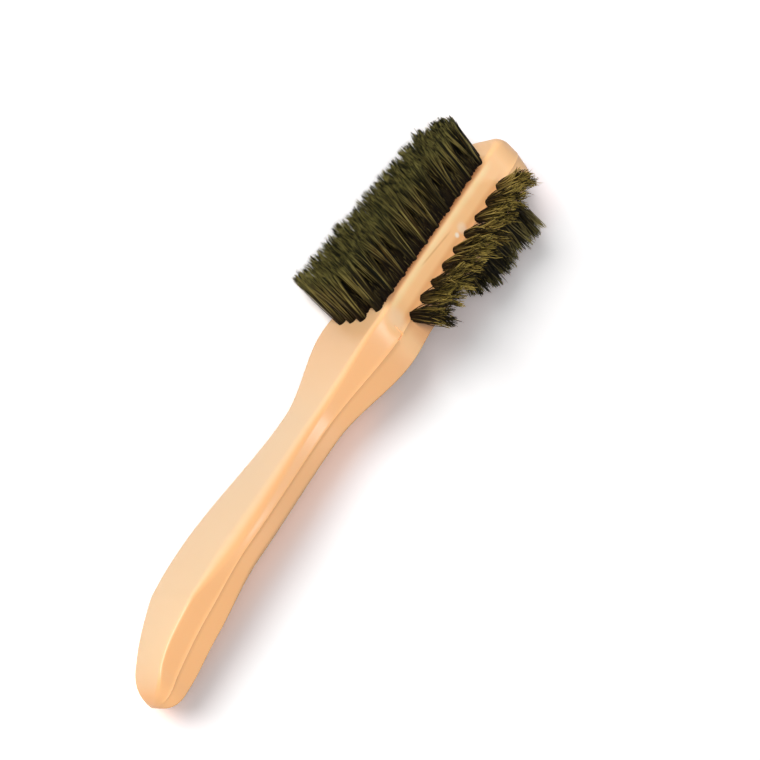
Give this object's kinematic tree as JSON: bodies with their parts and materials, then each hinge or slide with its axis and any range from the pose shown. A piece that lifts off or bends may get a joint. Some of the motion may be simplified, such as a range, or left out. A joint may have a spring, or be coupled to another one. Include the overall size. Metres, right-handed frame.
{
  "type": "shoe brush",
  "caption": "Three-sided shoe brush: a moulded plastic handle whose long head carries a main brush, a single side row and a short back brush.",
  "frame": {"origin": "centre of the overall box in X and Y, on the surface that the brush lies on; the lowest point is the widest place of the plain side", "axes": "+X along the middle of the handle from the butt towards the tip of the head, +Y out of the main brush, +Z out of the side row, away from the plain side that the brush lies on"},
  "size_m": [0.2144, 0.0536, 0.0449],
  "materials": {
    "handle_plastic": "satin-gloss moulded plastic, peach orange",
    "bristles": "dark olive stiff bristles with lighter green-yellow ends"
  },
  "bodies": {
    "root": {"handle_body": "handle_plastic", "front_row_1": "bristles", "front_row_2": "bristles", "front_row_3": "bristles", "front_row_4": "bristles", "front_row_5": "bristles", "side_row": "bristles", "back_row_1": "bristles", "back_row_2": "bristles", "back_row_3": "bristles"}
  },
  "joints": []
}
